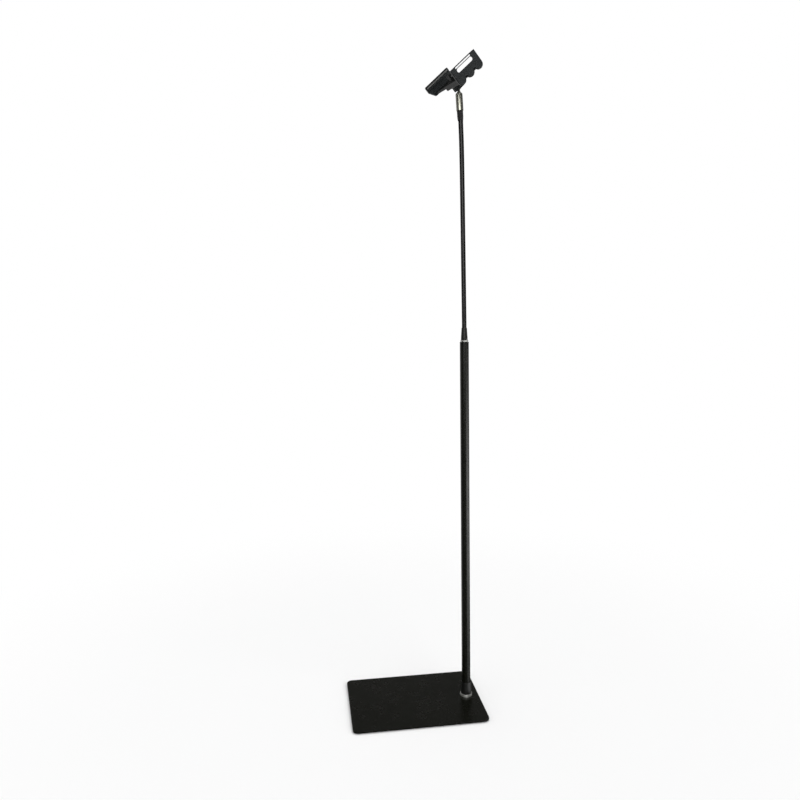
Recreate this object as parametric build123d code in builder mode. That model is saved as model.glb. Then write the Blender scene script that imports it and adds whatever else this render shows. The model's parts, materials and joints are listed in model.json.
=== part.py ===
from build123d import *
import os
from math import asin, cos, radians, sin, sqrt, tan

# Tablet floor stand: a heavy base plate, a round pole, a gooseneck and a spring clamp on a ball joint.
# Millimetres. +Z is up, and the origin is on the floor under the middle of the base plate.
# X runs along the plate's long side, and the pole stands near its +X end.
# The clamp is drawn in its own frame, level with the middle of the ball and a little above it:
# u runs up the jaws, v from the fixed jaw to the sliding jaw, and n faces the reader.

os.makedirs("parts", exist_ok=True)

# Base
foot_height = 3.0
foot_radius = 11.0
foot_inset = 30.0
foot_chamfer = 0.5
plate_length = 424.0
plate_depth = 310.0
plate_thickness = 6.0
plate_corner_radius = 18.0
plate_edge_round = 1.2
pole_inset = 40.0

# Bolt that holds the pole to the plate
bolt_radius = 4.0
bolt_head_radius = 8.0
bolt_head_depth = 4.2
bolt_reach = 26.0
bolt_socket_radius = 2.5
bolt_socket_depth = 2.6

# Foot of the pole
flange_wall = 5.6
flange_height = 8.0
flange_edge_round = 2.5
sleeve_height = 39.0
sleeve_bottom_wall = 3.4
sleeve_top_wall = 1.4
sleeve_straight = 13.0
sleeve_edge_round = 0.8

# Pole, in equal sections that are screwed together from inside
pole_radius = 14.0
pole_wall = 1.5
pole_height = 1158.0
pole_section_count = 3
joiner_length = 80.0
joiner_wall = 3.0
joiner_chamfer = 1.0
plug_length = 30.0

# Collar and lower ferrule between the pole and the gooseneck
collar_inset = 1.8
collar_height = 6.0
collar_chamfer = 0.8
stud_radius = 5.0
stud_reach = 20.0
lower_ferrule_height = 38.0
lower_ferrule_foot_wall = 3.05
lower_ferrule_straight = 6.0
ferrule_wall = 1.0

# Gooseneck, drawn as short segments that turn on each other
neck_radius = 7.25
neck_bore_radius = 3.0
neck_length = 651.0
neck_joint_count = 16
neck_even_lean = 0.5
neck_end_lean = 3.2
neck_lean_power = 10.0
neck_rim_drop = 2.6
neck_grip = 24.0

# Dark boot at the top of the gooseneck
boot_length = 28.0
boot_taper = 10.0
boot_wall = 1.85
boot_lip = 0.8

# Upper ferrule and ball stud
upper_ferrule_length = 52.0
upper_ferrule_wall = 3.15
upper_ferrule_round = 4.5
ball_radius = 10.0
ball_stem = 10.0
ball_neck_radius = 4.0
ball_collar_radius = 5.5
ball_collar_height = 3.0
ball_shank_radius = 3.5
ball_shank_reach = 18.0

# Ball socket and lock ring
head_turn = 16.4
screen_rise = 46.2
clamp_roll = 8.8
socket_drop = 8.0
ball_swing = 43.0
mouth_margin = 2.0
liner_thickness = 1.5
collet_wall = 1.5
collet_lip = 0.15
collet_slit = 1.2
collet_slit_reach = 8.0
collet_slit_count = 4
socket_flange_width = 2.5
socket_flange_thickness = 3.0
socket_flange_room = 1.5
ring_wall = 5.45
ring_lip = 1.7
ring_groove_count = 18
ring_groove_radius = 1.5
ring_groove_depth = 0.9

# Clamp body
shell_back = 9.0
shell_wall = 2.5
body_end_wall = 3.0
body_width = 78.0
body_corner_radius = 8.0
body_edge_round = 3.0
split_rise = 8.0
front_edge_round = 1.25
boss_radius = 3.2
boss_inset = 4.5
shell_screw_radius = 1.25
shell_screw_head_radius = 2.2
shell_screw_head_height = 1.6
shell_screw_reach = 9.0

# Sliding arm and its springs
arm_width = 62.0
arm_thickness = 6.6
arm_tail = 46.0
arm_notch_length = 26.0
arm_notch_width = 8.0
spring_radius = 2.5
spring_wire = 0.8
spring_spacing = 40.0

# Jaws. The grips are measured along v from the ball, the near one backwards and the far one forwards.
near_grip = 91.0
far_grip = 109.0
pad_thickness = 1.5
jaw_pad_height = 7.5
jaw_pad_length = 8.0
jaw_pad_inset = 3.0
far_pad_height = 4.0
far_pad_inset = 4.0
pad_chamfer = 0.5
jaw_thickness = 5.0
near_jaw_thickness = 7.0
near_jaw_round = 3.0
tablet_seat = 44.0
tablet_gap = 9.0
lip_thickness = 2.0
lip_reach = 7.0
jaw_edge_round = 1.2
lobe_radius = 14.2
lobe_pitch = 34.0
lobe_depth = 53.2
notch_round = 2.5
slot_length = 63.0
slot_width = 12.0
window_width = 4.4
window_bar = 1.6
ledge_length = 12.0
ledge_reach = 8.0
ledge_thickness = 3.5
far_jaw_length = 98.0
far_jaw_foot_width = 68.0
far_jaw_side_depth = 20.0
far_jaw_corner_radius = 4.0
far_jaw_toe = 2.0
seat_block_width = 30.0
seat_block_length = 22.0
seat_block_end = 2.0
seat_block_round = 3.0
jaw_screw_radius = 1.5
jaw_screw_head_radius = 2.75
jaw_screw_head_height = 2.0
jaw_screw_spacing = 20.0
near_screw_bite = 4.0
far_screw_bite = 12.0

# Clearances
slip = 0.1
running = 0.05
spherical_gap = 0.3
liner_gap = 0.2
arm_gap = 0.3
arm_clear = 0.7
ring_gap = 1.0

# Heights that follow from the sizes
plate_top = foot_height + plate_thickness
pole_x = plate_length / 2 - pole_inset
pole_top = plate_top + pole_height
pole_bore = pole_radius - pole_wall
section_length = pole_height / pole_section_count
ferrule_base = pole_top + collar_height
neck_base_height = ferrule_base + lower_ferrule_height
pole_axis = Axis((pole_x, 0, 0), (0, 0, 1))

# Upright section plane through the pole's axis, with x as radius and y as height
pole_section = Plane(origin=(pole_x, 0, 0), x_dir=(1, 0, 0), z_dir=(0, -1, 0))


def pole_level(height):
    """Level plane centred on the pole."""
    return Plane(origin=(pole_x, 0, height))


# Feet, plate and bolt
with BuildPart() as base_feet:
    with BuildSketch(Plane.XY):
        with GridLocations(plate_length - 2 * foot_inset, plate_depth - 2 * foot_inset, 2, 2):
            Circle(foot_radius)
    extrude(amount=foot_height)
    chamfer(base_feet.edges().group_by(Axis.Z)[0], foot_chamfer)

under_plate = Plane(origin=(pole_x, 0, foot_height), z_dir=(0, 0, -1))
with BuildPart() as base_plate:
    with BuildSketch(Plane.XY.offset(foot_height)):
        RectangleRounded(plate_length, plate_depth, plate_corner_radius)
    extrude(amount=plate_thickness)
    fillet(base_plate.edges().group_by(Axis.Z)[-1], plate_edge_round)
    with BuildSketch(pole_section):
        with BuildLine():
            Polyline(
                (0, foot_height),
                (bolt_head_radius + slip, foot_height),
                (bolt_radius + slip, foot_height + bolt_head_depth),
                (bolt_radius + slip, plate_top),
                (0, plate_top),
                close=True,
            )
        make_face()
    revolve(axis=pole_axis, mode=Mode.SUBTRACT)

with BuildPart() as base_bolt:
    with BuildSketch(pole_section):
        with BuildLine():
            Polyline(
                (0, foot_height),
                (bolt_head_radius, foot_height),
                (bolt_radius, foot_height + bolt_head_depth),
                (bolt_radius, plate_top + bolt_reach),
                (0, plate_top + bolt_reach),
                close=True,
            )
        make_face()
    revolve(axis=pole_axis)
    with BuildSketch(under_plate):
        RegularPolygon(bolt_socket_radius, 6)
    extrude(amount=-bolt_socket_depth, mode=Mode.SUBTRACT)

# Foot of the pole: a bright flange ring on the plate and a dark sleeve above it
with BuildPart() as flange_ring:
    with BuildSketch(pole_level(plate_top)):
        Circle(pole_radius + flange_wall)
        Circle(pole_radius + slip, mode=Mode.SUBTRACT)
    extrude(amount=flange_height)
    outer_edges = flange_ring.edges().filter_by(GeomType.CIRCLE).group_by(SortBy.RADIUS)[-1]
    fillet(outer_edges.sort_by(Axis.Z)[-1], flange_edge_round)

sleeve_base = plate_top + flange_height
with BuildPart() as foot_sleeve:
    with BuildSketch(pole_section):
        with BuildLine():
            Polyline(
                (pole_radius + slip, sleeve_base),
                (pole_radius + sleeve_bottom_wall, sleeve_base),
                (pole_radius + sleeve_bottom_wall, sleeve_base + sleeve_straight),
                (pole_radius + sleeve_top_wall, sleeve_base + sleeve_height),
                (pole_radius + slip, sleeve_base + sleeve_height),
                close=True,
            )
        make_face()
    revolve(axis=pole_axis)
    sleeve_top_edges = foot_sleeve.edges().filter_by(GeomType.CIRCLE).group_by(Axis.Z)[-1]
    fillet(sleeve_top_edges.sort_by(SortBy.RADIUS)[-1], sleeve_edge_round)

# Pole: tubes end to end, with plugs at both ends and a joiner inside each seam
pole_names = ["pole_section_lower", "pole_section_middle", "pole_section_upper"]
pole_tubes = {}
for index in range(pole_section_count):
    with BuildPart() as pole_tube:
        with BuildSketch(pole_level(plate_top + index * section_length)):
            Circle(pole_radius)
            Circle(pole_bore, mode=Mode.SUBTRACT)
        extrude(amount=section_length)
    pole_tubes[pole_names[index]] = pole_tube

joiner_names = ["pole_joiner_lower", "pole_joiner_upper"]
pole_joiners = {}
for index in range(pole_section_count - 1):
    seam_height = plate_top + (index + 1) * section_length
    with BuildPart() as pole_joiner:
        with BuildSketch(pole_level(seam_height - joiner_length / 2)):
            Circle(pole_bore - slip)
            Circle(pole_bore - slip - joiner_wall, mode=Mode.SUBTRACT)
        extrude(amount=joiner_length)
        chamfer(pole_joiner.edges().filter_by(GeomType.CIRCLE).group_by(SortBy.RADIUS)[-1], joiner_chamfer)
    pole_joiners[joiner_names[index]] = pole_joiner

with BuildPart() as pole_plug_bottom:
    with BuildSketch(pole_level(plate_top)):
        Circle(pole_bore - slip)
        Circle(bolt_radius + slip, mode=Mode.SUBTRACT)
    extrude(amount=plug_length)

with BuildPart() as pole_plug_top:
    with BuildSketch(pole_level(pole_top - plug_length)):
        Circle(pole_bore - slip)
        Circle(stud_radius + slip, mode=Mode.SUBTRACT)
    extrude(amount=plug_length)

# Bright collar on the pole's end, and the ferrule that is screwed down onto it
with BuildPart() as collar_ring:
    with BuildSketch(pole_level(pole_top)):
        Circle(pole_radius - collar_inset)
        Circle(stud_radius + slip, mode=Mode.SUBTRACT)
    extrude(amount=collar_height)
    chamfer(collar_ring.edges().filter_by(GeomType.CIRCLE).group_by(SortBy.RADIUS)[-1], collar_chamfer)

ferrule_bore = neck_radius + slip
ferrule_foot_radius = ferrule_bore + lower_ferrule_foot_wall
with BuildPart() as neck_ferrule_lower:
    with BuildSketch(pole_section):
        with BuildLine():
            Polyline(
                (0, pole_top - stud_reach),
                (stud_radius, pole_top - stud_reach),
                (stud_radius, ferrule_base),
                (ferrule_foot_radius, ferrule_base),
                (ferrule_foot_radius, ferrule_base + lower_ferrule_straight),
                (ferrule_bore + ferrule_wall, neck_base_height),
                (ferrule_bore, neck_base_height),
                (ferrule_bore, neck_base_height - neck_grip),
                (0, neck_base_height - neck_grip),
                close=True,
            )
        make_face()
    revolve(axis=pole_axis)

# Gooseneck. It leans a little towards -X, mostly near its top.
neck_pitch = (neck_length - boot_length) / neck_joint_count


def neck_angle(index):
    """Lean of one segment, in radians: none in the lower ferrule, little above it, most near the top."""
    if index == 0:
        return 0.0
    share = index / neck_joint_count
    return radians(neck_even_lean + (neck_end_lean - neck_even_lean) * share**neck_lean_power)


def neck_direction(index):
    """Direction of one segment, upwards."""
    return Vector(-sin(neck_angle(index)), 0, cos(neck_angle(index)))


def neck_section(index, origin):
    """Section plane of one segment, with x as radius and y along the segment."""
    angle = neck_angle(index)
    return Plane(origin=origin, x_dir=(cos(angle), 0, sin(angle)), z_dir=(0, -1, 0))


neck_joints = [Vector(pole_x, 0, neck_base_height) + neck_direction(0) * (neck_pitch / 2)]
for index in range(1, neck_joint_count):
    neck_joints.append(neck_joints[-1] + neck_direction(index) * neck_pitch)
neck_end = neck_joints[-1] + neck_direction(neck_joint_count) * (neck_pitch / 2 + boot_length)

# The top of a segment is a cup and the foot of the next one is a dome, both round the same joint.
cup_radius = neck_radius + spherical_gap
cup_rim_radius = sqrt(cup_radius**2 - neck_rim_drop**2)
cup_bore_drop = sqrt(cup_radius**2 - neck_bore_radius**2)
dome_bore_drop = sqrt(neck_radius**2 - neck_bore_radius**2)


def neck_segment(index):
    """One segment of the gooseneck. The first and last ones run straight into the ferrules."""
    bottom = neck_joints[index - 1] if index > 0 else Vector(pole_x, 0, neck_base_height - neck_grip)
    top = neck_joints[index] if index < neck_joint_count else neck_end + neck_direction(index) * neck_grip
    length = (top - bottom).length
    with BuildPart() as segment:
        with BuildSketch(neck_section(index, bottom)):
            with BuildLine():
                if index > 0:
                    dome_start = (neck_bore_radius, -dome_bore_drop)
                    dome_angle = asin(neck_bore_radius / neck_radius) / 2 + radians(45)
                    dome_middle = (neck_radius * sin(dome_angle), -neck_radius * cos(dome_angle))
                    ThreePointArc(dome_start, dome_middle, (neck_radius, 0))
                else:
                    dome_start = (neck_bore_radius, 0)
                    Line(dome_start, (neck_radius, 0))
                if index < neck_joint_count:
                    cup_angle = (asin(neck_bore_radius / cup_radius) + asin(cup_rim_radius / cup_radius)) / 2
                    cup_middle = (cup_radius * sin(cup_angle), length - cup_radius * cos(cup_angle))
                    cup_end = (neck_bore_radius, length - cup_bore_drop)
                    rim_height = length - neck_rim_drop
                    Polyline((neck_radius, 0), (neck_radius, rim_height), (cup_rim_radius, rim_height))
                    ThreePointArc((cup_rim_radius, rim_height), cup_middle, cup_end)
                    Line(cup_end, dome_start)
                else:
                    Polyline((neck_radius, 0), (neck_radius, length), (neck_bore_radius, length), dome_start)
            make_face()
        revolve(axis=Axis(bottom, neck_direction(index)))
    return segment


neck_segments = {f"neck_segment_{index:02d}": neck_segment(index) for index in range(neck_joint_count + 1)}

# Boot round the top of the neck, then the bright ferrule with the ball stud turning in its top
stud_direction = neck_direction(neck_joint_count)
ferrule_section = neck_section(neck_joint_count, neck_end)
ferrule_axis = Axis(neck_end, stud_direction)
with BuildPart() as neck_boot:
    with BuildSketch(ferrule_section):
        with BuildLine():
            Polyline(
                (ferrule_bore, 0),
                (ferrule_bore + boot_wall, 0),
                (ferrule_bore + boot_wall, boot_taper - boot_length),
                (ferrule_bore + boot_lip, -boot_length),
                (ferrule_bore, -boot_length),
                close=True,
            )
        make_face()
    revolve(axis=ferrule_axis)

with BuildPart() as neck_ferrule_upper:
    with BuildSketch(ferrule_section):
        with BuildLine():
            Polyline(
                (ferrule_bore, 0),
                (ferrule_bore + upper_ferrule_wall, 0),
                (ferrule_bore + upper_ferrule_wall, upper_ferrule_length),
                (ball_shank_radius + running, upper_ferrule_length),
                (ball_shank_radius + running, upper_ferrule_length - ball_shank_reach - slip),
                (0, upper_ferrule_length - ball_shank_reach - slip),
                (0, neck_grip),
                (ferrule_bore, neck_grip),
                close=True,
            )
        make_face()
    revolve(axis=ferrule_axis)
    ferrule_rims = neck_ferrule_upper.edges().filter_by(GeomType.CIRCLE).group_by(SortBy.RADIUS)[-1]
    fillet(ferrule_rims.sort_by(Axis.Z)[-1], upper_ferrule_round)

ball_rise = ball_stem + ball_radius
ball_centre = neck_end + stud_direction * (upper_ferrule_length + ball_rise)
ball_foot = neck_end + stud_direction * upper_ferrule_length
with BuildPart() as ball_stud:
    with BuildSketch(neck_section(neck_joint_count, ball_foot)):
        with BuildLine():
            Polyline(
                (0, -ball_shank_reach),
                (ball_shank_radius, -ball_shank_reach),
                (ball_shank_radius, 0),
                (ball_collar_radius, 0),
                (ball_collar_radius, ball_collar_height),
                (ball_neck_radius, ball_collar_height),
                (ball_neck_radius, ball_rise),
                (0, ball_rise),
                close=True,
            )
        make_face()
        with Locations((0, ball_rise)):
            Circle(ball_radius)
        with Locations((0, 0)):
            Rectangle(4 * ball_radius, 8 * ball_radius, align=(Align.MAX, Align.CENTER), mode=Mode.SUBTRACT)
    revolve(axis=Axis(ball_foot, stud_direction))

# Frame of the clamp
turn = radians(head_turn)
rise = radians(screen_rise)
roll = radians(clamp_roll)
level_u = Vector(cos(turn) * sin(rise), sin(turn) * sin(rise), cos(rise))
level_v = Vector(-sin(turn), cos(turn), 0)
n_dir = Vector(-cos(rise) * cos(turn), -cos(rise) * sin(turn), sin(rise))
u_dir = level_u * cos(roll) - level_v * sin(roll)
v_dir = level_v * cos(roll) + level_u * sin(roll)
clamp_centre = ball_centre + u_dir * socket_drop
socket = Plane(origin=ball_centre, x_dir=u_dir, z_dir=n_dir)
socket_section = Plane(origin=ball_centre, x_dir=u_dir, z_dir=-v_dir)
socket_axis = Axis(ball_centre, n_dir)
head = Plane(origin=clamp_centre, x_dir=u_dir, z_dir=n_dir)


def head_point(u, v, n):
    """Point of the clamp's frame."""
    return clamp_centre + u_dir * u + v_dir * v + n_dir * n


def side_plane(v):
    """Plane square to v, with x along u and y along n. It faces the fixed jaw."""
    return Plane(origin=head_point(0, v, 0), x_dir=u_dir, z_dir=-v_dir)


# The mouth of the ball joint is a cone that leaves room for the stud at its furthest swing.
liner_inner = ball_radius + liner_gap
liner_outer = liner_inner + liner_thickness
cavity_radius = liner_outer + spherical_gap
collet_radius = cavity_radius + collet_wall
ring_radius = collet_radius + running + ring_wall
mouth_slope = tan(radians(ball_swing + mouth_margin))
mouth_start = ball_neck_radius / cos(radians(ball_swing)) + spherical_gap
mouth_depth = 2 * ball_radius
mouth_outline = [
    (0, 0),
    (mouth_start, 0),
    (mouth_start + mouth_slope * mouth_depth, -mouth_depth),
    (0, -mouth_depth),
]

# The liner ends where its outside meets that cone, and the collet reaches just past it.
cone_square = 1 + mouth_slope**2
liner_reach = (sqrt(liner_outer**2 * cone_square - mouth_start**2) - mouth_slope * mouth_start) / cone_square
collet_mouth = liner_reach + collet_lip

with BuildPart() as ball_liner:
    with BuildSketch(socket_section):
        Circle(liner_outer)
        Circle(liner_inner, mode=Mode.SUBTRACT)
        Polygon(*mouth_outline, align=None, mode=Mode.SUBTRACT)
        Rectangle(ring_radius, 4 * ring_radius, align=(Align.MIN, Align.CENTER), mode=Mode.INTERSECT)
    revolve(axis=socket_axis)

flange_back = shell_back + shell_wall
flange_front = flange_back + socket_flange_thickness
with BuildPart() as ball_socket:
    with BuildSketch(socket_section):
        with BuildLine():
            Polyline(
                (0, -collet_mouth),
                (collet_radius, -collet_mouth),
                (collet_radius, flange_back),
                (collet_radius + socket_flange_width, flange_back),
                (collet_radius + socket_flange_width, flange_front),
                (0, flange_front),
                close=True,
            )
        make_face()
        Circle(cavity_radius, mode=Mode.SUBTRACT)
        Polygon(*mouth_outline, align=None, mode=Mode.SUBTRACT)
    revolve(axis=socket_axis)
    with BuildSketch(socket.offset(-collet_mouth)):
        with PolarLocations(0, collet_slit_count // 2, angular_range=180):
            Rectangle(4 * collet_radius, collet_slit)
        Circle(collet_radius + slip, mode=Mode.INTERSECT)
    extrude(amount=collet_mouth + collet_slit_reach, mode=Mode.SUBTRACT)

ring_mouth = collet_mouth + spherical_gap + ring_lip
ring_front = shell_back - ring_gap
with BuildPart() as lock_ring:
    with BuildSketch(socket.offset(-ring_mouth)):
        Circle(ring_radius)
        with PolarLocations(ring_radius + ring_groove_radius - ring_groove_depth, ring_groove_count):
            Circle(ring_groove_radius, mode=Mode.SUBTRACT)
    extrude(amount=ring_mouth + ring_front)
    with BuildSketch(socket.offset(-collet_mouth - spherical_gap)):
        Circle(collet_radius + running)
    extrude(amount=ring_mouth + ring_front, mode=Mode.SUBTRACT)
    with BuildSketch(socket_section):
        Polygon(*mouth_outline, align=None)
    revolve(axis=socket_axis, mode=Mode.SUBTRACT)

# Clamp body: two shells that the arm slides between
near_face = near_grip + pad_thickness
jaw_screw_places = (-jaw_screw_spacing / 2, jaw_screw_spacing / 2)
body_reach = collet_radius + socket_flange_width + socket_flange_room + body_end_wall
body_length = near_face + body_reach
body_middle = (body_reach - near_face) / 2
shell_split = shell_back + split_rise
arm_back = flange_front + arm_clear
arm_front = arm_back + arm_thickness
arm_level = arm_back + arm_thickness / 2
shell_ceiling = arm_front + arm_gap
shell_front = shell_ceiling + shell_wall
boss_places = [
    (side * (body_width / 2 - boss_inset), end)
    for side in (-1, 1)
    for end in (-near_face + body_end_wall + boss_inset, body_reach - body_end_wall - boss_inset)
]
inner_width = body_width - 2 * shell_wall
inner_length = body_length - 2 * body_end_wall
inner_corner_radius = body_corner_radius - body_end_wall
arm_window = arm_width + 2 * arm_gap

with BuildPart() as clamp_back_shell:
    with BuildSketch(head.offset(shell_back)):
        with Locations((0, body_middle)):
            RectangleRounded(body_width, body_length, body_corner_radius)
    extrude(amount=split_rise)
    fillet(clamp_back_shell.faces().sort_by(socket_axis)[0].edges(), body_edge_round)
    with BuildSketch(head.offset(shell_back + shell_wall)):
        with Locations((0, body_middle)):
            RectangleRounded(inner_width, inner_length, inner_corner_radius)
    extrude(amount=split_rise, mode=Mode.SUBTRACT)
    with BuildSketch(head.offset(shell_back + shell_wall)):
        with Locations(*boss_places):
            Circle(boss_radius)
    extrude(amount=split_rise - shell_wall)
    with BuildSketch(head.offset(shell_back)):
        with Locations(*boss_places):
            Circle(shell_screw_radius + slip)
        with Locations((-socket_drop, 0)):
            Circle(collet_radius + slip)
    extrude(amount=split_rise, mode=Mode.SUBTRACT)
    with BuildSketch(head.offset(shell_back)):
        with Locations(*boss_places):
            Circle(shell_screw_head_radius + slip)
    extrude(amount=shell_screw_head_height, mode=Mode.SUBTRACT)
    with BuildSketch(head.offset(arm_back - arm_gap)):
        with Locations((0, body_reach)):
            Rectangle(arm_window, 2 * body_corner_radius)
    extrude(amount=split_rise, mode=Mode.SUBTRACT)
    with BuildSketch(side_plane(-near_face + body_end_wall)):
        with Locations(*[(u, shell_split) for u in jaw_screw_places]):
            Circle(jaw_screw_radius + slip)
    extrude(amount=body_end_wall, mode=Mode.SUBTRACT)

seat_block_top = tablet_seat - pad_thickness
seat_block_middle = body_reach - seat_block_end - seat_block_length / 2
with BuildPart() as clamp_front_shell:
    with BuildSketch(head.offset(shell_split)):
        with Locations((0, body_middle)):
            RectangleRounded(body_width, body_length, body_corner_radius)
    extrude(amount=shell_front - shell_split)
    fillet(clamp_front_shell.faces().sort_by(socket_axis)[-1].edges(), front_edge_round)
    with BuildSketch(head.offset(shell_split)):
        with Locations((0, body_middle)):
            RectangleRounded(inner_width, inner_length, inner_corner_radius)
    extrude(amount=shell_ceiling - shell_split, mode=Mode.SUBTRACT)
    with BuildSketch(head.offset(shell_split)):
        with Locations(*boss_places):
            Circle(boss_radius)
    extrude(amount=shell_ceiling - shell_split)
    with BuildSketch(head.offset(shell_split)):
        with Locations(*boss_places):
            Circle(shell_screw_radius + slip)
    extrude(amount=shell_screw_reach - split_rise + shell_screw_head_height + slip, mode=Mode.SUBTRACT)
    with BuildSketch(head.offset(shell_split)):
        with Locations((0, body_reach)):
            Rectangle(arm_window, 2 * body_corner_radius)
    extrude(amount=shell_ceiling - shell_split, mode=Mode.SUBTRACT)
    with BuildSketch(side_plane(-near_face + body_end_wall)):
        with Locations(*[(u, shell_split) for u in jaw_screw_places]):
            Circle(jaw_screw_radius + slip)
    extrude(amount=body_end_wall, mode=Mode.SUBTRACT)
    with BuildSketch(head.offset(shell_front - shell_wall / 2)):
        with Locations((0, seat_block_middle)):
            RectangleRounded(seat_block_width, seat_block_length, seat_block_round)
    extrude(amount=seat_block_top - shell_front + shell_wall / 2)

with BuildPart() as seat_pad:
    with BuildSketch(head.offset(seat_block_top)):
        with Locations((0, seat_block_middle)):
            RectangleRounded(seat_block_width, seat_block_length, seat_block_round)
    extrude(amount=pad_thickness)
    chamfer(seat_pad.faces().sort_by(socket_axis)[-1].edges(), pad_chamfer)

# Fixed jaw: a deep side plate with three lobes along its back. A window beside the tablet's edge and a
# wide slot behind it leave a thin bar between them.
lip_back = tablet_seat + tablet_gap
lip_front = lip_back + lip_thickness
lobe_level = lip_front - lobe_depth + lobe_radius
near_jaw_length = 2 * (lobe_pitch + lobe_radius)
window_level = lip_back - window_width / 2
slot_level = window_level - window_width / 2 - window_bar - slot_width / 2
ledge_middle = (near_jaw_length - ledge_length) / 2
with BuildPart() as near_jaw:
    with BuildSketch(side_plane(-near_face)) as near_outline:
        with Locations((0, (lip_front + lobe_level) / 2)):
            Rectangle(near_jaw_length, lip_front - lobe_level)
        with Locations((-lobe_pitch, lobe_level), (0, lobe_level), (lobe_pitch, lobe_level)):
            Circle(lobe_radius)
        notch_corners = near_outline.vertices().filter_by(lambda corner: abs(corner.X) < lobe_pitch)
        fillet(notch_corners, notch_round)
        with Locations((0, slot_level)):
            SlotOverall(slot_length, slot_width, mode=Mode.SUBTRACT)
        with Locations((0, window_level)):
            SlotOverall(slot_length, window_width, mode=Mode.SUBTRACT)
    extrude(amount=near_jaw_thickness)
    fillet(near_jaw.faces().sort_by(Axis(ball_centre, v_dir))[0].outer_wire().edges(), near_jaw_round)
    with BuildSketch(head.offset(lip_back)):
        with Locations((0, -near_face + lip_reach / 2)):
            Rectangle(near_jaw_length - 2 * near_jaw_round, lip_reach)
    extrude(amount=lip_thickness)
    with BuildSketch(head.offset(tablet_seat - ledge_thickness)):
        with Locations(*[(u, -near_face + ledge_reach / 2) for u in (-ledge_middle, ledge_middle)]):
            Rectangle(ledge_length, ledge_reach)
    extrude(amount=ledge_thickness)
    with BuildSketch(side_plane(-near_face)):
        with Locations(*[(u, shell_split) for u in jaw_screw_places]):
            Circle(jaw_screw_radius + slip)
    extrude(amount=near_screw_bite + slip, mode=Mode.SUBTRACT)


tablet_level = tablet_seat + tablet_gap / 2
near_pad_place = near_jaw_length / 2 - jaw_pad_inset - jaw_pad_length / 2
with BuildPart() as near_jaw_pad:
    with BuildSketch(side_plane(-near_grip)):
        with Locations((-near_pad_place, tablet_level), (near_pad_place, tablet_level)):
            Rectangle(jaw_pad_length, jaw_pad_height)
    extrude(amount=pad_thickness)

# Sliding jaw: a thin hooked plate whose foot is screwed to the end of the arm
far_face = far_grip + pad_thickness
far_jaw_foot = arm_back - far_jaw_toe
far_jaw_outline = [
    (-far_jaw_foot_width / 2, far_jaw_foot),
    (far_jaw_foot_width / 2, far_jaw_foot),
    (far_jaw_length / 2, lip_front - far_jaw_side_depth),
    (far_jaw_length / 2, lip_front),
    (-far_jaw_length / 2, lip_front),
    (-far_jaw_length / 2, lip_front - far_jaw_side_depth),
]
with BuildPart() as far_jaw:
    with BuildSketch(side_plane(far_face + jaw_thickness)) as far_outline:
        Polygon(*far_jaw_outline, align=None)
        fillet(far_outline.vertices(), far_jaw_corner_radius)
    extrude(amount=jaw_thickness)
    fillet(far_jaw.faces().sort_by(Axis(ball_centre, v_dir))[-1].outer_wire().edges(), jaw_edge_round)
    with BuildSketch(head.offset(lip_back)):
        with Locations((0, far_face - lip_reach / 2)):
            Rectangle(far_jaw_length - 2 * far_jaw_corner_radius, lip_reach)
    extrude(amount=lip_thickness)
    with BuildSketch(head.offset(tablet_seat - ledge_thickness)):
        with Locations((0, far_face - ledge_reach / 2)):
            Rectangle(far_jaw_length - 2 * far_jaw_corner_radius, ledge_reach)
    extrude(amount=ledge_thickness)
    with BuildSketch(side_plane(far_face + jaw_thickness)):
        with Locations(*[(u, arm_level) for u in jaw_screw_places]):
            Circle(jaw_screw_radius + slip)
    extrude(amount=jaw_thickness, mode=Mode.SUBTRACT)

with BuildPart() as far_jaw_pad:
    with BuildSketch(side_plane(far_face)):
        with Locations((0, tablet_level)):
            SlotOverall(far_jaw_length - 2 * far_pad_inset, far_pad_height)
    extrude(amount=pad_thickness)

with BuildPart() as sliding_arm:
    with BuildSketch(head.offset(arm_back)):
        with Locations((0, (far_face - arm_tail) / 2)):
            Rectangle(arm_width, far_face + arm_tail)
        with Locations((-spring_spacing / 2, -arm_tail), (spring_spacing / 2, -arm_tail)):
            Rectangle(arm_notch_width, 2 * arm_notch_length, mode=Mode.SUBTRACT)
    extrude(amount=arm_thickness)
    with BuildSketch(side_plane(far_face)):
        with Locations(*[(u, arm_level) for u in jaw_screw_places]):
            Circle(jaw_screw_radius + slip)
    extrude(amount=far_screw_bite + slip, mode=Mode.SUBTRACT)

spring_end = arm_notch_length - arm_tail
spring_length = near_face - body_end_wall + spring_end
with BuildPart() as clamp_springs:
    with BuildSketch(side_plane(spring_end)):
        with Locations((-spring_spacing / 2, arm_level), (spring_spacing / 2, arm_level)):
            Circle(spring_radius)
            Circle(spring_radius - spring_wire, mode=Mode.SUBTRACT)
    extrude(amount=spring_length)


def pan_screws(seats, head_radius, head_height, shank_radius, shank_length):
    """Screws whose heads stand on the given planes and whose shanks run the other way."""
    with BuildPart() as screws:
        with BuildSketch(*seats):
            Circle(head_radius)
        extrude(amount=head_height)
        with BuildSketch(*seats):
            Circle(shank_radius)
        extrude(amount=-shank_length)
    return screws


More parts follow.
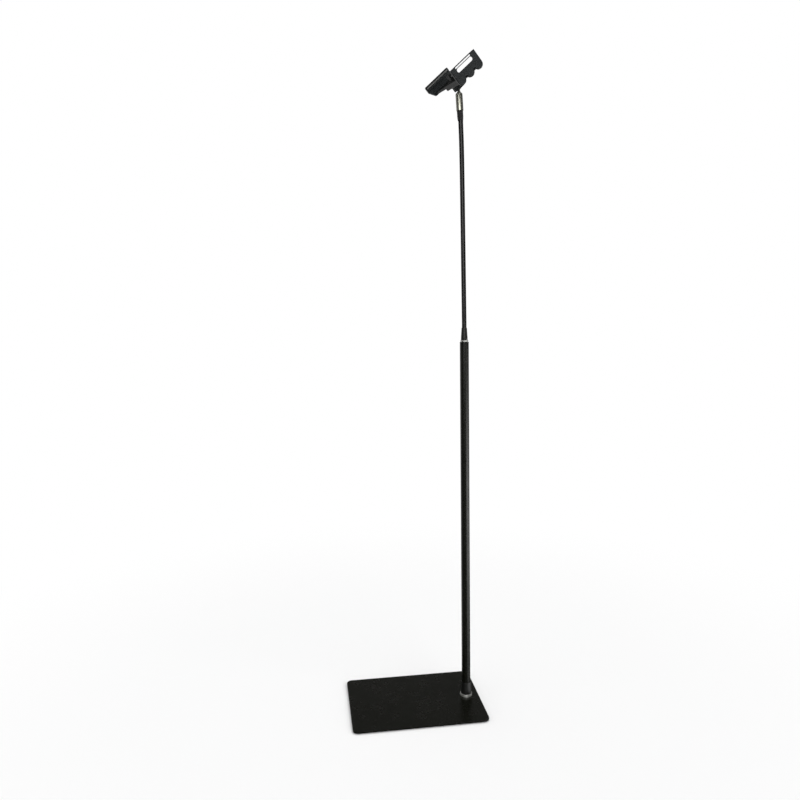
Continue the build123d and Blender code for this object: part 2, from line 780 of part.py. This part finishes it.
shell_screw_seats = [
    Plane(origin=head_point(u, v, shell_back + shell_screw_head_height), x_dir=u_dir, z_dir=-n_dir)
    for u, v in boss_places
]
shell_screws = pan_screws(
    shell_screw_seats, shell_screw_head_radius, shell_screw_head_height, shell_screw_radius, shell_screw_reach
)
near_screw_seats = [
    Plane(origin=head_point(u, -near_face + body_end_wall, shell_split), x_dir=u_dir, z_dir=v_dir)
    for u in jaw_screw_places
]
near_jaw_screws = pan_screws(
    near_screw_seats,
    jaw_screw_head_radius,
    jaw_screw_head_height,
    jaw_screw_radius,
    body_end_wall + near_screw_bite,
)
far_screw_seats = [
    Plane(origin=head_point(u, far_face + jaw_thickness, arm_level), x_dir=u_dir, z_dir=v_dir)
    for u in jaw_screw_places
]
far_jaw_screws = pan_screws(
    far_screw_seats,
    jaw_screw_head_radius,
    jaw_screw_head_height,
    jaw_screw_radius,
    jaw_thickness + far_screw_bite,
)

pieces = {
    "base_feet": base_feet,
    "base_plate": base_plate,
    "base_bolt": base_bolt,
    "flange_ring": flange_ring,
    "foot_sleeve": foot_sleeve,
    "pole_plug_bottom": pole_plug_bottom,
    **pole_tubes,
    **pole_joiners,
    "pole_plug_top": pole_plug_top,
    "collar_ring": collar_ring,
    "neck_ferrule_lower": neck_ferrule_lower,
    **neck_segments,
    "neck_boot": neck_boot,
    "neck_ferrule_upper": neck_ferrule_upper,
    "ball_stud": ball_stud,
    "ball_liner": ball_liner,
    "ball_socket": ball_socket,
    "lock_ring": lock_ring,
    "clamp_back_shell": clamp_back_shell,
    "clamp_front_shell": clamp_front_shell,
    "seat_pad": seat_pad,
    "near_jaw": near_jaw,
    "near_jaw_pad": near_jaw_pad,
    "far_jaw": far_jaw,
    "far_jaw_pad": far_jaw_pad,
    "sliding_arm": sliding_arm,
    "clamp_springs": clamp_springs,
    "shell_screws": shell_screws,
    "near_jaw_screws": near_jaw_screws,
    "far_jaw_screws": far_jaw_screws,
}
for name, piece in pieces.items():
    piece.part.label = name
    export_step(piece.part, f"parts/{name}.step")
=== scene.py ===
"""Looks of the tablet floor stand: materials, the gooseneck's smooth sleeve, and a plain studio."""

import json
from math import cos, pi, radians, sin

import bmesh
import bpy
from mathutils import Matrix, Vector

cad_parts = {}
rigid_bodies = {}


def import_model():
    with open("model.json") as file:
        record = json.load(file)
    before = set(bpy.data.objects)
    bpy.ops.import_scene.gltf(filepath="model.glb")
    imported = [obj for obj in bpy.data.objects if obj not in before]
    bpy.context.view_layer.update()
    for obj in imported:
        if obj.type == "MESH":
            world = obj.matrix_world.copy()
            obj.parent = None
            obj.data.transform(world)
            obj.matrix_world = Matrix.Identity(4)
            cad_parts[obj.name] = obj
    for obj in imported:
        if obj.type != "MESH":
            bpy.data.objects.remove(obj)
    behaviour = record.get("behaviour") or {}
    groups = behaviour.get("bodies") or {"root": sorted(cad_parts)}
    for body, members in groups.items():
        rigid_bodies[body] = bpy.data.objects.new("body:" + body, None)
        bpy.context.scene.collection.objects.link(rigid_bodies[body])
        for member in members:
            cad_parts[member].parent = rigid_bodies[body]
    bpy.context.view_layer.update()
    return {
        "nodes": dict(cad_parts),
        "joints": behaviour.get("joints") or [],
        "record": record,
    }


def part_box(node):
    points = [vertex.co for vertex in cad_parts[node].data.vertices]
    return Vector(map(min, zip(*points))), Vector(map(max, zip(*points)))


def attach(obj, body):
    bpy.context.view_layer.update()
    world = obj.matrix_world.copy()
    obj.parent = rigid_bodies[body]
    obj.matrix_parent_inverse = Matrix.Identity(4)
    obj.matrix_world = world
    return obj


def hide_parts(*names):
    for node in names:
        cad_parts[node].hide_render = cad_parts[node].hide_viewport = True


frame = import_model()
nodes = frame["nodes"]

# Camera of the photograph, in metres and radians
CAMERA_PLACE = Vector((-0.3219, -2.1088, 1.2106))
CAMERA_YAW = 0.136
CAMERA_PITCH = 0.103
CAMERA_ROLL = 0.015
CAMERA_CLIP_START = 0.02
FOCAL_PIXELS = 688.2
PICTURE_PIXELS = 800
SENSOR_WIDTH = 36.0

# Sockets of the colour mix node that share their names with others
MIX_FIRST_COLOR = 6
MIX_SECOND_COLOR = 7
MIX_COLOR_RESULT = 2

# Painted highlight on the edges of moulded plastic: its radius, how finely the edges are found, between
# which products of the rounded and the true normal it fades in, and how much lighter than the rest it is
EDGE_RADIUS = 0.0006
EDGE_SAMPLES = 6
EDGE_LIMITS = (0.80, 0.99)
EDGE_LIGHTENING = 1.9

# Gooseneck sleeve: rings in each round end, steps along each link, sides, and how far the last link stays
# short of its CAD end
DOME_RINGS = 10
SLEEVE_STEPS = 6
SLEEVE_SIDES = 48
HEAD_SETBACK = 0.001

# Studio: the floor's half width and height, where its shading runs out into white, and the light's levels
FLOOR_REACH = 12.0
FLOOR_LEVEL = -0.0003
FLOOR_SHADE_REACH = (0.7, 2.2)
FILL_LIGHT = 0.35
ROOM_GREY = 0.09
WHITE = (1.0, 1.0, 1.0, 1.0)

# Lit parts of the room that reflections show: the way there, the cosines of the angles from that way
# between which it fades in, the heights between which it fades in at its foot and out at its top, and its
# strength
LIT_PARTS = [
    ((-0.35, 0.937, 0.0), (0.35, 0.85), (-1.0, -0.6), (0.10, 0.30), 0.7),
    ((-0.228, -0.974, 0.0), (0.82, 0.96), (0.0, 0.08), (0.50, 0.75), 2.5),
    ((0.856, -0.518, 0.0), (0.70, 0.87), (-0.48, -0.25), (-0.22, -0.06), 3.4),
]

# Lamps: name, the way to the lamp, its width in degrees, and its strength
LAMPS = [
    ("key_lamp", (0.52, -0.69, 0.50), 50, 1.5),
    ("fill_lamp", (-0.80, -0.50, 0.35), 60, 0.5),
    ("top_lamp", (0.10, 0.20, 1.0), 60, 1.3),
]
LAMP_DISTANCE = 3


# Node helpers


class Recipe:
    """A material under construction, with short ways to add and link nodes."""

    def __init__(self, name):
        self.material = bpy.data.materials.new(name)
        self.material.use_nodes = True
        self.tree = self.material.node_tree
        self.shader = self.tree.nodes["Principled BSDF"]
        self.place = self.add("ShaderNodeTexCoord").outputs["Object"]
        self.bump_chain = None

    def add(self, kind, **values):
        """Adds a node of a kind, with values for its own settings."""
        node = self.tree.nodes.new(kind)
        for name, value in values.items():
            setattr(node, name, value)
        return node

    def link(self, output, socket):
        self.tree.links.new(output, socket)

    def stretched(self, factors):
        """Object coordinates, stretched by a factor along each axis."""
        mapping = self.add("ShaderNodeMapping")
        mapping.inputs["Scale"].default_value = factors
        self.link(self.place, mapping.inputs["Vector"])
        return mapping.outputs["Vector"]

    def noise(self, per_metre, detail=4.0, rough=0.55, vector=None):
        """Noise factor with so many features per metre."""
        node = self.add("ShaderNodeTexNoise")
        node.inputs["Scale"].default_value = per_metre
        node.inputs["Detail"].default_value = detail
        node.inputs["Roughness"].default_value = rough
        self.link(vector or self.place, node.inputs["Vector"])
        return node.outputs["Fac"]

    def spread(self, factor, to_range=(0.0, 1.0), from_range=(0.3, 0.7)):
        """A factor moved from one range into another."""
        node = self.add("ShaderNodeMapRange")
        node.inputs["From Min"].default_value, node.inputs["From Max"].default_value = from_range
        node.inputs["To Min"].default_value, node.inputs["To Max"].default_value = to_range
        self.link(factor, node.inputs["Value"])
        return node.outputs["Result"]

    def between(self, factor, first, second):
        """Colour between two colours, by a factor of 0 to 1. The first may be a socket."""
        node = self.add("ShaderNodeMix", data_type="RGBA")
        self.link(factor, node.inputs["Factor"])
        if isinstance(first, bpy.types.NodeSocket):
            self.link(first, node.inputs[MIX_FIRST_COLOR])
        else:
            node.inputs[MIX_FIRST_COLOR].default_value = (*first, 1.0)
        node.inputs[MIX_SECOND_COLOR].default_value = (*second, 1.0)
        return node.outputs[MIX_COLOR_RESULT]

    def bump(self, factor, depth):
        """Adds a bump whose height is the factor times a depth in metres."""
        node = self.add("ShaderNodeBump")
        node.inputs["Strength"].default_value = 1.0
        node.inputs["Distance"].default_value = depth
        self.link(factor, node.inputs["Height"])
        if self.bump_chain:
            self.link(self.bump_chain, node.inputs["Normal"])
        self.bump_chain = node.outputs["Normal"]
        self.link(self.bump_chain, self.shader.inputs["Normal"])

    def edge_highlight(self):
        """Factor that is 1 on sharp edges and 0 on flats, for the painted edge highlight."""
        bevel = self.add("ShaderNodeBevel", samples=EDGE_SAMPLES)
        bevel.inputs["Radius"].default_value = EDGE_RADIUS
        geometry = self.add("ShaderNodeNewGeometry")
        product = self.add("ShaderNodeVectorMath", operation="DOT_PRODUCT")
        self.link(bevel.outputs["Normal"], product.inputs[0])
        self.link(geometry.outputs["Normal"], product.inputs[1])
        return self.spread(product.outputs["Value"], (1.0, 0.0), EDGE_LIMITS)

    def color(self, output):
        self.link(output, self.shader.inputs["Base Color"])

    def rough(self, factor, limits):
        """Roughness between two limits, by a factor."""
        self.link(self.spread(factor, limits), self.shader.inputs["Roughness"])

    def set(self, socket, value):
        """Sets a socket of the shader that is the same all over."""
        self.shader.inputs[socket].default_value = value


def joined(tree, operation, first, second):
    """Two values joined by a math operation. The second may be a plain number."""
    node = tree.nodes.new("ShaderNodeMath")
    node.operation = operation
    tree.links.new(first, node.inputs[0])
    if isinstance(second, bpy.types.NodeSocket):
        tree.links.new(second, node.inputs[1])
    else:
        node.inputs[1].default_value = second
    return node.outputs["Value"]


def faded(tree, value, limits, low, high):
    """Smooth step of a value between two limits, from low to high."""
    node = tree.nodes.new("ShaderNodeMapRange")
    node.interpolation_type = "SMOOTHSTEP"
    node.inputs["From Min"].default_value, node.inputs["From Max"].default_value = limits
    node.inputs["To Min"].default_value = low
    node.inputs["To Max"].default_value = high
    tree.links.new(value, node.inputs["Value"])
    return node.outputs["Result"]


def mixed_shader(tree, factor, first, second):
    """Shader between two others, by a factor of 0 to 1."""
    node = tree.nodes.new("ShaderNodeMixShader")
    tree.links.new(factor, node.inputs["Fac"])
    tree.links.new(first, node.inputs[1])
    tree.links.new(second, node.inputs[2])
    return node.outputs["Shader"]


def seen_directly(tree):
    """Factor that is 1 for what the camera, a reflection or clear glass shows, and 0 for plain light."""
    rays = tree.nodes.new("ShaderNodeLightPath")
    total = rays.outputs["Is Camera Ray"]
    for name in ("Is Glossy Ray", "Is Transmission Ray"):
        total = joined(tree, "MAXIMUM", total, rays.outputs[name])
    return total


# Materials


def painted_metal(name, base, light, rough, specular):
    """Powder coat: a fine orange peel, faint cloudiness and a slightly uneven gloss."""
    recipe = Recipe(name)
    clouds = recipe.spread(recipe.noise(per_metre=9.0))
    recipe.color(recipe.between(clouds, base, light))
    recipe.rough(recipe.noise(per_metre=35.0, detail=6.0), rough)
    recipe.bump(recipe.noise(per_metre=650.0, detail=2.0), depth=0.00012)
    recipe.bump(recipe.noise(per_metre=2600.0, detail=2.0), depth=0.00003)
    recipe.set("Specular IOR Level", specular)
    return recipe.material


def bright_metal(name, base, shade, rough, stretch, metallic=1.0):
    """Plated metal, with faint turning lines where the coordinates are stretched along its axis."""
    recipe = Recipe(name)
    lines = recipe.noise(per_metre=1.0, detail=3.0, rough=0.6, vector=recipe.stretched(stretch))
    clouds = recipe.spread(recipe.noise(per_metre=60.0))
    recipe.color(recipe.between(clouds, base, shade))
    recipe.rough(lines, rough)
    recipe.bump(lines, depth=0.000012)
    recipe.set("Metallic", metallic)
    return recipe.material


def moulded_plastic(name, base, light, rough, grain, specular=0.5):
    """Moulded plastic with a fine spark-eroded grain and a painted highlight on its edges."""
    recipe = Recipe(name)
    clouds = recipe.spread(recipe.noise(per_metre=40.0))
    plain = recipe.between(clouds, base, light)
    # Painted highlight: the edges are lighter than the rest, as if light caught them
    edge_highlight_color = tuple(min(1.0, value * EDGE_LIGHTENING) for value in light)
    recipe.color(recipe.between(recipe.edge_highlight(), plain, edge_highlight_color))
    recipe.rough(recipe.noise(per_metre=300.0, detail=6.0), rough)
    recipe.bump(recipe.noise(per_metre=3200.0, detail=3.0), depth=grain)
    recipe.set("Specular IOR Level", specular)
    return recipe.material


def rubber(name, base, light):
    """Matt rubber, slightly uneven in colour."""
    recipe = Recipe(name)
    clouds = recipe.spread(recipe.noise(per_metre=120.0, detail=6.0))
    recipe.color(recipe.between(clouds, base, light))
    recipe.rough(recipe.noise(per_metre=80.0), limits=(0.62, 0.85))
    recipe.bump(recipe.noise(per_metre=4200.0, detail=2.0), depth=0.00005)
    return recipe.material


def soft_sleeve(name, base, light):
    """Smooth flexible sleeve with a slightly uneven skin."""
    recipe = Recipe(name)
    clouds = recipe.spread(recipe.noise(per_metre=30.0))
    recipe.color(recipe.between(clouds, base, light))
    recipe.rough(recipe.noise(per_metre=150.0, detail=6.0), limits=(0.20, 0.30))
    recipe.bump(recipe.noise(per_metre=900.0, detail=3.0), depth=0.00008)
    return recipe.material


materials = {}


def add_look(name, maker, *colors, **values):
    """Makes a material from its two colours and the other values of its maker."""
    materials[name] = maker(name, *colors, **values)


add_look(
    "black_steel", painted_metal, (0.0028, 0.0031, 0.0014), (0.0044, 0.0046, 0.0028),
    rough=(0.20, 0.30), specular=0.45
)
add_look(
    "black_aluminium", painted_metal, (0.0050, 0.0052, 0.0040), (0.0085, 0.0088, 0.0070),
    rough=(0.28, 0.40), specular=0.5
)
add_look(
    "chrome", bright_metal, (0.84, 0.84, 0.80), (0.72, 0.72, 0.68),
    rough=(0.40, 0.52), stretch=(40, 40, 900)
)
add_look(
    "matt_chrome", bright_metal, (0.84, 0.84, 0.80), (0.72, 0.72, 0.68),
    rough=(0.40, 0.52), stretch=(40, 40, 900), metallic=0.9
)
add_look(
    "satin_metal", bright_metal, (0.72, 0.72, 0.62), (0.60, 0.60, 0.50),
    rough=(0.22, 0.32), stretch=(60, 60, 1400)
)
add_look(
    "zinc", bright_metal, (0.52, 0.53, 0.54), (0.42, 0.43, 0.45),
    rough=(0.28, 0.42), stretch=(300, 300, 300)
)
add_look(
    "dark_screw", bright_metal, (0.10, 0.10, 0.10), (0.06, 0.06, 0.06),
    rough=(0.30, 0.45), stretch=(500, 500, 500)
)
add_look(
    "black_plastic", moulded_plastic, (0.0095, 0.0115, 0.0120), (0.0150, 0.0175, 0.0182),
    rough=(0.36, 0.50), grain=0.00006
)
add_look(
    "foot_plastic", moulded_plastic, (0.0040, 0.0042, 0.0036), (0.0070, 0.0072, 0.0064),
    rough=(0.34, 0.46), grain=0.00005
)
add_look(
    "body_plastic", moulded_plastic, (0.0040, 0.0046, 0.0042), (0.0070, 0.0078, 0.0072),
    rough=(0.40, 0.52), grain=0.00006, specular=0.25
)
add_look(
    "liner_plastic", moulded_plastic, (0.5, 0.5, 0.47), (0.58, 0.58, 0.55),
    rough=(0.40, 0.55), grain=0.00002
)
add_look("rubber", rubber, (0.010, 0.010, 0.010), (0.018, 0.018, 0.017))
add_look("grey_rubber", rubber, (0.15, 0.15, 0.145), (0.20, 0.20, 0.19))
add_look("neck_sleeve", soft_sleeve, (0.0022, 0.0022, 0.0018), (0.0042, 0.0042, 0.0036))

node_looks = {part["node"]: part["material_slot"] for part in frame["record"]["subparts"]}
node_looks["foot_sleeve"] = "foot_plastic"
node_looks["flange_ring"] = "matt_chrome"
for name in ("sliding_arm", "clamp_back_shell", "clamp_front_shell"):
    node_looks[name] = "body_plastic"
for name, node in nodes.items():
    node.data.materials.clear()
    node.data.materials.append(materials[node_looks[name]])


# Smooth sleeve over the gooseneck. Each link carries a slightly curved tube with a round end on the middle
# of each of its joints, so neighbours run on smoothly at rest and close up at every bend.


def curve_between(start, end, start_heading, end_heading):
    """Points of a cubic Hermite curve between two places with given headings, each with its own heading."""
    reach = (end - start).length
    points = []
    for step in range(SLEEVE_STEPS + 1):
        part = step / SLEEVE_STEPS
        squared = part * part
        cubed = squared * part
        place = start * (2 * cubed - 3 * squared + 1) + end * (3 * squared - 2 * cubed)
        place += start_heading * (reach * (cubed - 2 * squared + part))
        place += end_heading * (reach * (cubed - squared))
        heading = (end - start) * (6 * part - 6 * squared)
        heading += start_heading * (reach * (3 * squared - 4 * part + 1))
        heading += end_heading * (reach * (3 * squared - 2 * part))
        points.append((place, heading.normalized()))
    return points


def round_ended_tube(name, points, radius, round_start, round_end):
    """Closed tube along a curve in the plane of X and Z, with a half ball or a flat end at each end."""
    side_axis = Vector((0, 1, 0))
    stations = [(place, heading, radius) for place, heading in points]
    first_place, first_heading = points[0]
    last_place, last_heading = points[-1]
    for step in range(DOME_RINGS - 1, 0, -1):
        angle = pi / 2 * step / DOME_RINGS
        depth = radius * cos(angle)
        width = radius * sin(angle)
        if round_start:
            stations.insert(0, (first_place - first_heading * depth, first_heading, width))
        if round_end:
            stations.append((last_place + last_heading * depth, last_heading, width))
    mesh = bmesh.new()
    rings = []
    for middle, heading, width in stations:
        across = side_axis.cross(heading)
        ring = []
        for side in range(SLEEVE_SIDES):
            angle = 2 * pi * side / SLEEVE_SIDES
            ring.append(mesh.verts.new(middle + (across * cos(angle) + side_axis * sin(angle)) * width))
        rings.append(ring)
    for lower, upper in zip(rings, rings[1:]):
        for side in range(SLEEVE_SIDES):
            after = (side + 1) % SLEEVE_SIDES
            mesh.faces.new((lower[side], upper[side], upper[after], lower[after])).smooth = True
    for ring, rounded in ((rings[0], round_start), (list(reversed(rings[-1])), round_end)):
        cap = mesh.faces.new(ring)
        cap.smooth = rounded
        for edge in cap.edges:
            edge.smooth = rounded
    bmesh.ops.recalc_face_normals(mesh, faces=mesh.faces)
    data = bpy.data.meshes.new(name)
    mesh.to_mesh(data)
    mesh.free()
    piece = bpy.data.objects.new(name, data)
    bpy.context.scene.collection.objects.link(piece)
    return piece


neck_links = [joint for joint in frame["joints"] if joint["name"].startswith("neck_")]
neck_links.sort(key=lambda joint: joint["pos_m"][2])
joint_places = [Vector(joint["pos_m"]) for joint in neck_links]
foot_low, foot_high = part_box("neck_segment_00")
neck_radius = (foot_high[0] - foot_low[0]) / 2
neck_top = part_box(f"neck_segment_{len(neck_links):02d}")[1][2]
foot_end = Vector((joint_places[0].x, joint_places[0].y, foot_low[2]))
foot_direction = (joint_places[0] - foot_end).normalized()
head_direction = (joint_places[-1] - joint_places[-2]).normalized()
head_reach = (neck_top - joint_places[-1].z) / head_direction.z - HEAD_SETBACK
head_end = joint_places[-1] + head_direction * head_reach
sleeve_ends = [foot_end, *joint_places, head_end]
inner_headings = [(after - before).normalized() for before, after in zip(sleeve_ends, sleeve_ends[2:])]
headings = [foot_direction, *inner_headings, head_direction]
neck_bodies = [neck_links[0]["parent"], *[joint["child"] for joint in neck_links]]
for order, body in enumerate(neck_bodies):
    points = curve_between(sleeve_ends[order], sleeve_ends[order + 1], headings[order], headings[order + 1])
    sleeve = round_ended_tube(
        f"neck_sleeve_{order:02d}", points, neck_radius, order > 0, order < len(neck_links)
    )
    sleeve.data.materials.append(materials["neck_sleeve"])
    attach(sleeve, body)
    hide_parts(f"neck_segment_{order:02d}")


# Studio


def floor_material():
    """Pale floor that holds the object's shadow and runs out into plain white."""
    recipe = Recipe("studio_floor")
    recipe.set("Base Color", (0.93, 0.93, 0.93, 1.0))
    recipe.set("Roughness", 0.9)
    recipe.set("Specular IOR Level", 0.1)
    distance = recipe.add("ShaderNodeVectorMath", operation="LENGTH")
    recipe.link(recipe.place, distance.inputs[0])
    outside = faded(recipe.tree, distance.outputs["Value"], FLOOR_SHADE_REACH, 0.0, 1.0)
    white = recipe.add("ShaderNodeEmission")
    factor = joined(recipe.tree, "MULTIPLY", outside, seen_directly(recipe.tree))
    shader = mixed_shader(recipe.tree, factor, recipe.shader.outputs["BSDF"], white.outputs["Emission"])
    recipe.link(shader, recipe.tree.nodes["Material Output"].inputs["Surface"])
    return recipe.material


def add_floor():
    """Square floor round the stand, seen by the camera but not in reflections."""
    corners = [(-1, -1), (1, -1), (1, 1), (-1, 1)]
    places = [(x * FLOOR_REACH, y * FLOOR_REACH, FLOOR_LEVEL) for x, y in corners]
    data = bpy.data.meshes.new("studio_floor")
    data.from_pydata(places, [], [(0, 1, 2, 3)])
    data.materials.append(floor_material())
    floor = bpy.data.objects.new("studio_floor", data)
    floor.visible_glossy = False
    bpy.context.scene.collection.objects.link(floor)


def lit_room(tree):
    """Strength of the dim room that reflections see, with its lit parts: backdrop, front lamp, side lamp."""
    direction = tree.nodes.new("ShaderNodeTexCoord").outputs["Generated"]
    parts = tree.nodes.new("ShaderNodeSeparateXYZ")
    tree.links.new(direction, parts.inputs["Vector"])
    height = parts.outputs["Z"]
    total = ROOM_GREY
    for way, sides, foot, top, strength in LIT_PARTS:
        turned_to = tree.nodes.new("ShaderNodeVectorMath")
        turned_to.operation = "DOT_PRODUCT"
        tree.links.new(direction, turned_to.inputs[0])
        turned_to.inputs[1].default_value = way
        share = faded(tree, turned_to.outputs["Value"], sides, 0.0, strength)
        share = joined(tree, "MULTIPLY", share, faded(tree, height, foot, 0.0, 1.0))
        share = joined(tree, "MULTIPLY", share, faded(tree, height, top, 1.0, 0.0))
        total = joined(tree, "ADD", share, total)
    return total


def studio_world():
    """White to the camera, a dim room to reflections, and a little even light on everything else."""
    world = bpy.data.worlds.new("studio")
    world.use_nodes = True
    tree = world.node_tree
    fill = tree.nodes["Background"]
    room = tree.nodes.new("ShaderNodeBackground")
    white = tree.nodes.new("ShaderNodeBackground")
    for background in (fill, room, white):
        background.inputs["Color"].default_value = WHITE
    fill.inputs["Strength"].default_value = FILL_LIGHT
    tree.links.new(lit_room(tree), room.inputs["Strength"])
    to_camera = tree.nodes.new("ShaderNodeLightPath").outputs["Is Camera Ray"]
    shown = mixed_shader(tree, to_camera, room.outputs["Background"], white.outputs["Background"])
    shader = mixed_shader(tree, seen_directly(tree), fill.outputs["Background"], shown)
    tree.links.new(shader, tree.nodes["World Output"].inputs["Surface"])
    return world


def add_lamp(name, direction, width, strength):
    """Very wide sun: soft light of one level over the whole stand. Direction points to the lamp."""
    data = bpy.data.lights.new(name, "SUN")
    data.angle = radians(width)
    data.energy = strength
    lamp = bpy.data.objects.new(name, data)
    lamp.rotation_euler = Vector(direction).to_track_quat("Z", "Y").to_euler()
    lamp.location = Vector(direction) * LAMP_DISTANCE
    lamp.visible_glossy = False
    bpy.context.scene.collection.objects.link(lamp)


def add_camera():
    """Camera at the photograph's place, turned by its yaw, pitch and roll."""
    level_forward = Vector((sin(CAMERA_YAW), cos(CAMERA_YAW), 0))
    level_right = Vector((cos(CAMERA_YAW), -sin(CAMERA_YAW), 0))
    forward = level_forward * cos(CAMERA_PITCH) - Vector((0, 0, 1)) * sin(CAMERA_PITCH)
    down = forward.cross(level_right)
    right = level_right * cos(CAMERA_ROLL) + down * sin(CAMERA_ROLL)
    up = level_right * sin(CAMERA_ROLL) - down * cos(CAMERA_ROLL)
    data = bpy.data.cameras.new("camera")
    data.sensor_width = SENSOR_WIDTH
    data.lens = FOCAL_PIXELS / PICTURE_PIXELS * SENSOR_WIDTH
    data.clip_start = CAMERA_CLIP_START
    camera = bpy.data.objects.new("camera", data)
    bpy.context.scene.collection.objects.link(camera)
    turned = Matrix((right, up, -forward)).transposed().to_4x4()
    turned.translation = CAMERA_PLACE
    camera.matrix_world = turned
    bpy.context.scene.camera = camera


add_floor()
bpy.context.scene.world = studio_world()
for lamp in LAMPS:
    add_lamp(*lamp)
add_camera()
bpy.context.scene.view_settings.view_transform = "Standard"
